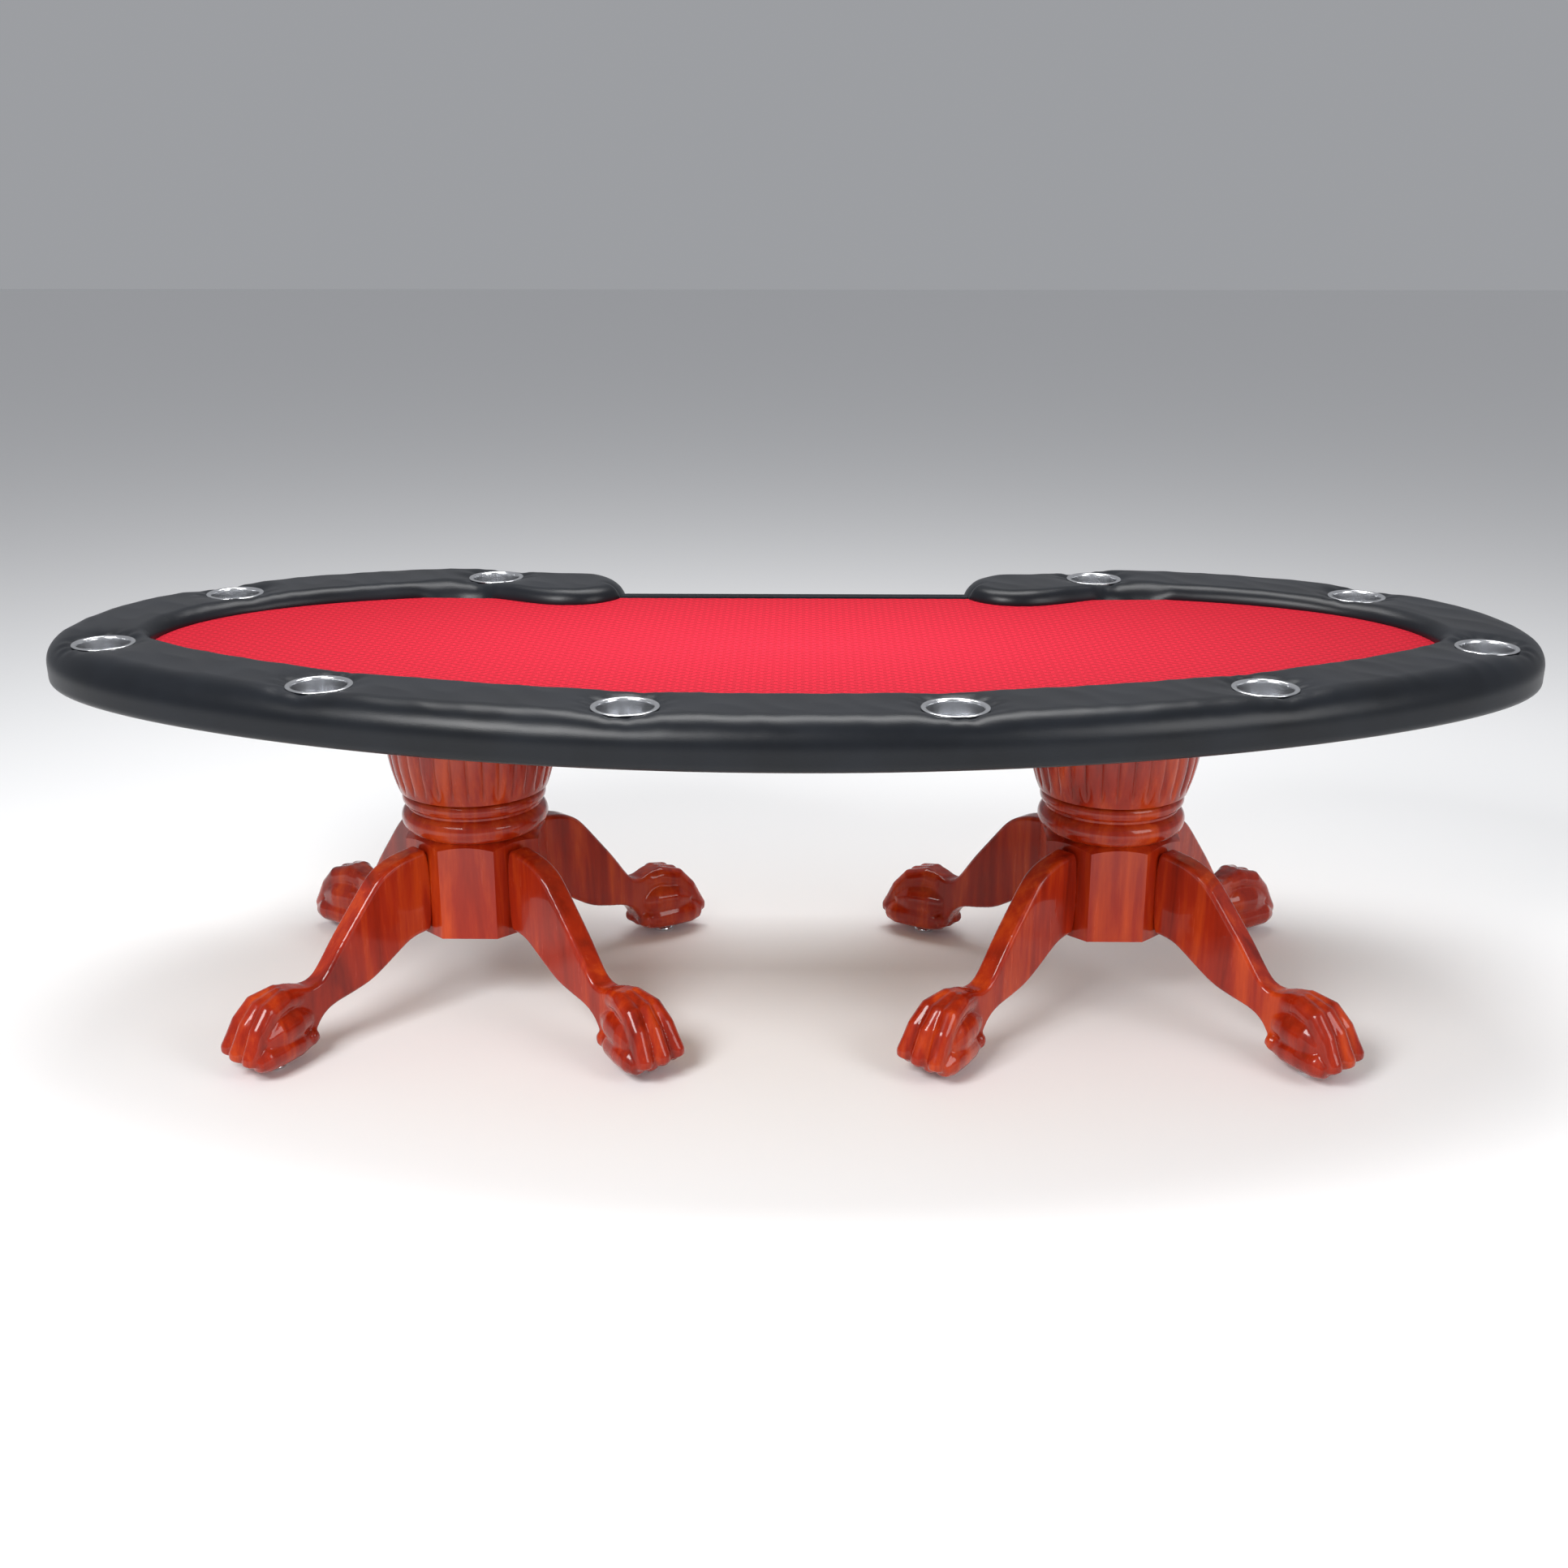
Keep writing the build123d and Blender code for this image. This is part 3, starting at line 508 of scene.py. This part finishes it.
# %% Rail surface
LONG, CAP = 760, 40
share = np.linspace(-1, 1, LONG)
outer = np.stack(rail_line(share, HALF, END_R), 1)
inner = np.stack(rail_line(share[::-1], -HALF, -END_R), 1)
mid_out = np.stack(rail_line(share, 0.0, 0.0), 1)
turn = np.linspace(math.pi / 2, 3 * math.pi / 2, CAP + 2)[1:-1]
cap_right = np.stack([END_X + END_R * np.cos(turn), END_Y + END_R * np.sin(turn)], 1)
cap_left = (cap_right * [-1, 1])[::-1]
edge = np.concatenate([outer, cap_right, inner, cap_left])
end_right = np.tile([END_X, END_Y], (CAP, 1))
core = np.concatenate([mid_out, end_right, mid_out[::-1], end_right * [-1, 1]])
side = core - edge
width = np.linalg.norm(side, axis=1, keepdims=True)
side = side / width

# The profile across: the turned-in hem, the skirt, the rolled edge and the level top.
roll = np.linspace(0, math.pi / 2, 12)
over_cloth = (1 - smooth(DEALER_Y - 0.006, DEALER_Y + 0.004, edge[:, 1])) * (
    np.arange(len(edge)) >= LONG - 1)
low = Z_SKIRT + (Z_CLOTH - 0.001 - Z_SKIRT) * over_cloth
rounding = 0.050 - 0.022 * over_cloth
under = 0.012 * (1 - over_cloth)
columns = []
for a in np.linspace(0, math.pi / 2, 6):
    inset = 0.0008 + under * (1 - math.sin(a))
    columns.append((edge + side * inset[:, None], low + under * (1 - math.cos(a))))
for rise in np.linspace(0.15, 1, 5):
    start = low + under
    columns.append((edge + side * 0.0008 * (1 - rise), start + (Z_TOP - rounding - start) * rise))
for a in roll[1:]:
    inset = rounding[:, None] * (1 - math.cos(a))
    columns.append((edge + side * inset, Z_TOP - rounding * (1 - math.sin(a))))
for s in np.linspace(0, 1, 15)[1:]:
    inset = rounding + (width[:, 0] - rounding) * s
    columns.append((edge + side * inset[:, None], np.full(len(edge), Z_TOP)))
flat_xy = np.stack([c[0] for c in columns], 1)
z = np.stack([c[1] for c in columns], 1)
print("rail grid", flat_xy.shape)

# %% [markdown]
# The cups pull the padding down, and short folds run out from them. A few slow sine waves keep the skin from
# looking machined. Displacement is used here in place of a cloth simulation.

# %% Dips and folds
DIP, DIP_REACH = 0.0115, 0.020
FOLD, FOLD_AT, FOLD_WIDTH, FOLDS = 0.0011, 0.064, 0.016, 11


def cup_press(xy, z):
    """Lowers the top round each cup, and adds short folds that fade out from its rim."""
    sag = np.zeros(xy.shape[:2])
    for n, c in enumerate(CUPS):
        d = xy - c
        rho = np.hypot(d[..., 0], d[..., 1])
        phi = np.arctan2(d[..., 1], d[..., 0])
        near = np.exp(-np.clip(rho - 0.050, 0, None) / DIP_REACH)
        wave = np.cos(FOLDS * phi + 1.7 * n + 1.3 * np.sin(3 * phi + n))
        fold = wave * np.exp(-((rho - FOLD_AT) / FOLD_WIDTH) ** 2)
        sag += DIP * near - FOLD * fold
    return z - sag * smooth(Z_TOP - 0.060, Z_TOP - 0.004, z)


soft = 0.0009 * (np.sin(23 * flat_xy[..., 0] + 1.1) * np.sin(31 * flat_xy[..., 1])
                 + 0.6 * np.sin(57 * flat_xy[..., 0] + 41 * flat_xy[..., 1]))
z = cup_press(flat_xy, z) - (np.abs(soft) + 0.0003) * smooth(Z_TOP - 0.05, Z_TOP, z)
pts = np.dstack([flat_xy, z])
print("rail height", pts[..., 2].min().round(4), pts[..., 2].max().round(4))

# %% [markdown]
# Each cup's hole is cut by leaving out the quads inside it. The points next to the hole are drawn to one
# circle under the cup's flange, so the edge of the hole is hidden.

# %% Cup holes and the rail's mesh
HOLE, HEM, HEM_REACH, HEM_LOW = 0.046, 0.0505, 0.0535, 0.70
gone = np.zeros(z.shape, bool)
for c in CUPS:
    rho = np.hypot(*(pts[..., :2] - c).transpose(2, 0, 1))
    gone |= rho < HOLE
    hem = (rho >= HOLE) & (rho < HEM_REACH) & (pts[..., 2] > HEM_LOW)
    pts[hem, :2] = c + (pts[hem, :2] - c) / rho[hem][:, None] * HEM
    pts[hem, 2] = Z_FLANGE - 0.0015
quad_gone = gone[:-1, :-1] | gone[1:, :-1] | gone[:-1, 1:] | gone[1:, 1:]
wrap_gone = gone[-1:, :-1] | gone[:1, :-1] | gone[-1:, 1:] | gone[:1, 1:]
rail = grid_mesh("rail_pad", pts, "table", close_u=True, flip=True,
                 drop=np.concatenate([quad_gone, wrap_gone]), merge=0.00015)
finish(rail, "vinyl")
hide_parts("rail_cover", "rail_foam")
print("rail faces", len(rail.data.polygons))

# %% [markdown]
# ## The cloth
# The card cloth is cut to the playing surface and stretched over thin foam, so it is flat up to the rail. The
# grid runs from its edge to a line along the middle.

# %% Card cloth
TUCK = 0.024
SPINE_HALF, SPINE_Y = 0.75, 0.02
path = np.stack(rail_line(np.linspace(-1, 1, 420), -HALF + TUCK, -END_R + TUCK), 1)
path = path[path[:, 1] < DEALER_Y]
path[[0, -1], 1] = DEALER_Y
back = np.linspace(path[-1], path[0], 80)[1:-1]
ring = np.concatenate([path, back])
heart = np.stack([np.clip(ring[:, 0], -SPINE_HALF, SPINE_HALF), np.full(len(ring), SPINE_Y)], 1)
steps = np.linspace(0, 1, 26)[None, :, None]
flat = ring[:, None] + (heart - ring)[:, None] * steps
felt = grid_mesh("card_cloth", np.dstack([flat, np.full(flat.shape[:2], Z_CLOTH)]), "table",
                 close_u=True, merge=0.00005)
finish(felt, "cloth")
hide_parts("speed_cloth")

# %% [markdown]
# ## Cup holders
# Each is one spun stainless piece: a rolled flange that drops on the leatherette and a straight well with a
# small radius at the bottom.

# %% Cup holders
F = Z_FLANGE
arc = [(0.0535 + 0.0025 * math.cos(a), F + 0.0006 + 0.0016 * math.sin(a))
       for a in np.linspace(-1.2, 1.6, 9)]
bottom = [(0.0405 + 0.006 * math.cos(a), F - 0.0682 + 0.006 * math.sin(a))
          for a in np.linspace(0, -math.pi / 2, 8)]
profile = [(0.0478, F - 0.0005)] + arc + [(0.0492, F + 0.0020), (0.0472, F + 0.0006), (0.0467, F - 0.003)]
profile += [(0.0466, F - 0.02), (0.0466, F - 0.045)] + bottom + [(0.02, F - 0.0742), (0.0004, F - 0.0740)]
outside = [(0.0004, F - 0.0750), (0.0440, F - 0.0750), (0.0475, F - 0.0710), (0.0475, F - 0.03)]
for number, c in enumerate(CUPS, 1):
    cup = lathe(f"cup_{number}_spun", profile + outside + profile[:1], c, f"cup_{number}", around=72)
    finish(cup, "stainless")
    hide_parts(f"cup_holder_{number}")
print("cups", len(CUPS), "with", len(cup.data.polygons), "faces each")

# %% [markdown]
# ## Fluted urns
# Each urn is turned and then carved with rounded flutes, called gadroons. They have their full depth over the
# belly and fade out just above the ring and at the shoulder.

# %% Urns
PED_X, PED_Y = 0.604, SHIFT
FLUTES, FLUTE_DEPTH = 32, 0.0062
heights = np.linspace(0.432, 0.598, 70)
belly = -0.149 + np.sqrt(0.310 ** 2 - (heights - 0.545) ** 2)
shoulder = [(0.1530, 0.6035), (0.1450, 0.609), (0.1360, 0.612), (0.1320, 0.616), (0.1320, 0.627)]
turned = list(zip(belly, heights)) + shoulder


def gadroons(ang, r, z):
    """Radius with convex flutes. Their depth fades to nothing at both ends."""
    depth = FLUTE_DEPTH * smooth(0.436, 0.462, z) * (1 - smooth(0.588, 0.604, z))
    across = np.abs(2 * ((FLUTES * ang / (2 * np.pi) + 0.5) % 1) - 1)
    return r - depth * (1 - np.sqrt(np.clip(1 - across ** 2.4, 0, 1)))


for side_name, x in (("left", -PED_X), ("right", PED_X)):
    urn = lathe(f"{side_name}_urn_carved", turned, (x, PED_Y), "table", around=448, radial=gadroons)
    finish(urn, "cherry_lacquer")
    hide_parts(f"{side_name}_fluted_urn")
print("urn faces", len(urn.data.polygons))

# %% [markdown]
# ## Carved legs
# Each leg is a thick plank cut to an S-shaped outline, carved at its foot into a paw with three toes. These
# helpers make its overlapping solids: a plank with eased edges, and a tube whose thickness changes.

# %% Leg helpers


def solid(name, verts, faces):
    """An object from lists of points and faces."""
    me = bpy.data.meshes.new(name)
    me.from_pydata([tuple(map(float, v)) for v in verts], [], faces)
    ob = bpy.data.objects.new(name, me)
    scene.collection.objects.link(ob)
    return ob


def rounded(points, cuts=4):
    """A smoother outline: each corner is cut repeatedly at a quarter and three quarters of its sides."""
    p = np.array(points, float)
    for _ in range(cuts):
        q = np.roll(p, -1, 0)
        p = np.stack([0.75 * p + 0.25 * q, 0.25 * p + 0.75 * q], 1).reshape(-1, 2)
    return p


def plank(outline, half):
    """An outline in (r, z) given a thickness, with eased edges: each side has an inner and an outer ring."""
    p = np.array(outline, float)
    c = np.roll(p, -1, 0) - np.roll(p, 1, 0)
    inward = np.stack([-c[:, 1], c[:, 0]], 1) / np.linalg.norm(c, axis=1, keepdims=True)
    rings = [(p + inward * 0.005, -half), (p, -half + 0.005), (p, half - 0.005), (p + inward * 0.005, half)]
    n = len(p)
    verts = [(x, y, z) for ring, y in rings for x, z in ring]
    faces = [[r * n + i, r * n + (i + 1) % n, (r + 1) * n + (i + 1) % n, (r + 1) * n + i]
             for r in range(3) for i in range(n)]
    faces += [list(range(n))[::-1], list(range(3 * n, 4 * n))]
    return verts, faces


def tube(stations, turn, base_r, squash=1.0, around=20):
    """A closed tube through (r, z, radius) stations, turned by an angle about the ankle's vertical line."""
    s = np.array(stations, float)
    way = np.gradient(s[:, :2], axis=0)
    way /= np.linalg.norm(way, axis=1, keepdims=True)
    a = np.linspace(0, 2 * np.pi, around, endpoint=False)
    across, up = np.cos(a)[None] * s[:, 2:3] * squash, np.sin(a)[None] * s[:, 2:3]
    x = s[:, 0:1] - way[:, 1:2] * up - base_r
    zz = s[:, 1:2] + way[:, 0:1] * up
    xr, yr = x * math.cos(turn) - across * math.sin(turn), x * math.sin(turn) + across * math.cos(turn)
    verts = np.stack([xr + base_r, yr, zz], -1).reshape(-1, 3)
    m = len(s)
    faces = [[i * around + j, i * around + (j + 1) % around, (i + 1) * around + (j + 1) % around,
              (i + 1) * around + j] for i in range(m - 1) for j in range(around)]
    faces += [list(range(around))[::-1], list(range((m - 1) * around, m * around))]
    return verts, faces


print("leg helpers ready")

# %% [markdown]
# The plank's outline goes from the hub over the shoulder and down the slope to the foot, then back under it.
# Each toe, pad, palm and heel volute is a tube through points (reach, height, radius).

# %% Leg parts
top_line = [(0.121, 0.336), (0.150, 0.334), (0.190, 0.328), (0.222, 0.314), (0.243, 0.296), (0.280, 0.252),
            (0.320, 0.204), (0.350, 0.162), (0.368, 0.142), (0.392, 0.136), (0.425, 0.148), (0.455, 0.146)]
foot = [(0.480, 0.120), (0.500, 0.080), (0.508, 0.040), (0.500, 0.020), (0.445, 0.019)]
under = [(0.412, 0.024), (0.392, 0.036), (0.381, 0.056), (0.368, 0.076), (0.345, 0.091), (0.300, 0.101),
         (0.262, 0.112), (0.228, 0.132), (0.198, 0.152), (0.172, 0.168), (0.145, 0.174), (0.121, 0.174)]
KNUCKLE = [(0.372, 0.110, 0.016), (0.405, 0.122, 0.020), (0.445, 0.128, 0.0215), (0.482, 0.117, 0.022),
           (0.507, 0.090, 0.0205), (0.520, 0.064, 0.0200), (0.532, 0.044, 0.0190), (0.536, 0.035, 0.0140)]
PAD = [(0.400, 0.040, 0.018), (0.430, 0.042, 0.026), (0.470, 0.044, 0.028), (0.510, 0.042, 0.025),
       (0.530, 0.036, 0.014)]
PALM = [(0.396, 0.080, 0.022), (0.425, 0.080, 0.034), (0.470, 0.076, 0.040), (0.500, 0.066, 0.034),
        (0.512, 0.060, 0.020)]
pieces = [solid("leg_plank", *plank(rounded(top_line + foot + under, 2)[::-1], 0.0225))]
for turn in (-0.25, 0.0, 0.25):
    pieces.append(solid("toe", *tube(KNUCKLE, turn, 0.385, squash=0.88)))
for turn in (-0.27, -0.09, 0.09, 0.27):
    pieces.append(solid("pad", *tube(PAD, turn, 0.36)))
for turn in (-0.13, 0.13):
    pieces.append(solid("palm", *tube(PALM, turn, 0.36)))
VOLUTE = [(0.384, 0.046, 0.010), (0.396, 0.044, 0.017), (0.408, 0.046, 0.010)]
for y in (-0.020, 0.020):
    verts, faces = tube(VOLUTE, 0.0, 0.385)
    pieces.append(solid("volute", verts + np.array([0, y, 0]), faces))
print("solids in a leg", len(pieces))

# %% [markdown]
# A voxel remesh fuses the solids into one skin, and smoothing blends them, as a carver does with a gouge and
# sandpaper.

# %% Fuse the leg
bpy.ops.object.select_all(action="DESELECT")
for ob in pieces:
    ob.select_set(True)
bpy.context.view_layer.objects.active = pieces[0]
bpy.ops.object.join()
master = pieces[0]
re = master.modifiers.new("fuse", "REMESH")
re.mode, re.voxel_size = "VOXEL", 0.0028
sm = master.modifiers.new("sand", "SMOOTH")
sm.iterations, sm.factor = 5, 0.5
depsgraph = bpy.context.evaluated_depsgraph_get()
carved = bpy.data.meshes.new_from_object(master.evaluated_get(depsgraph))
bpy.data.objects.remove(master)
base = np.zeros(len(carved.vertices) * 3)
carved.vertices.foreach_get("co", base)
base = base.reshape(-1, 3)
print("leg faces", len(carved.polygons), base.min(0).round(4), base.max(0).round(4))

# %% [markdown]
# The eight legs are one carved shape, turned to the four corners of each pedestal. The turn goes into the
# mesh, so every leg's object stays at the origin.

# %% Eight legs
TURNS = {"front_right": -45, "back_right": 45, "back_left": 135, "front_left": -135}
for side_name, x in (("left", -PED_X), ("right", PED_X)):
    for corner, degrees in TURNS.items():
        other_side = "left" if side_name == "right" else "right"
        spot = corner.replace(side_name, "outer").replace(other_side, "inner")
        c, s = math.cos(math.radians(degrees)), math.sin(math.radians(degrees))
        me = carved.copy()
        turned_leg = base @ np.array([[c, s, 0], [-s, c, 0], [0, 0, 1]]) + [x, PED_Y, 0]
        me.vertices.foreach_set("co", turned_leg.ravel())
        me.polygons.foreach_set("use_smooth", np.ones(len(me.polygons), bool))
        leg = bpy.data.objects.new(f"{side_name}_leg_{spot}_carved", me)
        scene.collection.objects.link(leg)
        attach(leg, "table")
        finish(leg, "cherry_lacquer")
        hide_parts(f"{side_name}_leg_{spot}")
        print("leg", leg.name)

# %% [markdown]
# ## Stage
# A pale floor, large soft lights and a camera at standing height in front of the players' side.

# %% Floor, lights and camera
bpy.ops.mesh.primitive_plane_add(size=40, location=(0, 0, 0))
floor = bpy.context.object
floor.name = "floor"
floor.data.materials.append(mat("floor_paper", (0.9, 0.9, 0.9), 0.7)[0])
world = bpy.data.worlds.new("studio")
world.use_nodes = True
world.node_tree.nodes["Background"].inputs[0].default_value = (0.93, 0.95, 1.0, 1)
world.node_tree.nodes["Background"].inputs[1].default_value = 0.36
scene.world = world
scene.view_settings.view_transform = "Standard"


def area_light(name, place, target, size, power):
    """A rectangular light at a place, turned to its target."""
    data = bpy.data.lights.new(name, "AREA")
    data.shape, data.size, data.size_y, data.energy = "RECTANGLE", size[0], size[1], power
    ob = bpy.data.objects.new(name, data)
    scene.collection.objects.link(ob)
    ob.location = place
    ob.rotation_euler = (Vector(target) - Vector(place)).to_track_quat("-Z", "Y").to_euler()


area_light("key", (-2.2, -3.2, 3.4), (0, 0, 0.5), (2.2, 1.6), 190)
area_light("fill", (3.0, -2.6, 2.2), (0, 0, 0.4), (2.0, 2.0), 60)
area_light("top", (0, 1.0, 3.8), (0, 0, 0.7), (3.2, 1.4), 110)

cam_data = bpy.data.cameras.new("camera")
cam_data.lens = 43.7292
cam = bpy.data.objects.new("camera", cam_data)
scene.collection.objects.link(cam)
yaw, pitch = math.radians(0.71), math.radians(18.39)
at = Vector((-0.016, -3.421, 1.570))
cam.location = (at.x * math.cos(yaw) - at.y * math.sin(yaw),
                at.x * math.sin(yaw) + at.y * math.cos(yaw) + SHIFT, at.z)
cam.rotation_mode = "QUATERNION"
look = Vector((-math.sin(yaw) * math.cos(pitch), math.cos(yaw) * math.cos(pitch), -math.sin(pitch)))
cam.rotation_quaternion = look.to_track_quat("-Z", "Y")
scene.camera = cam
print("camera at", np.round(cam.location, 3).tolist())
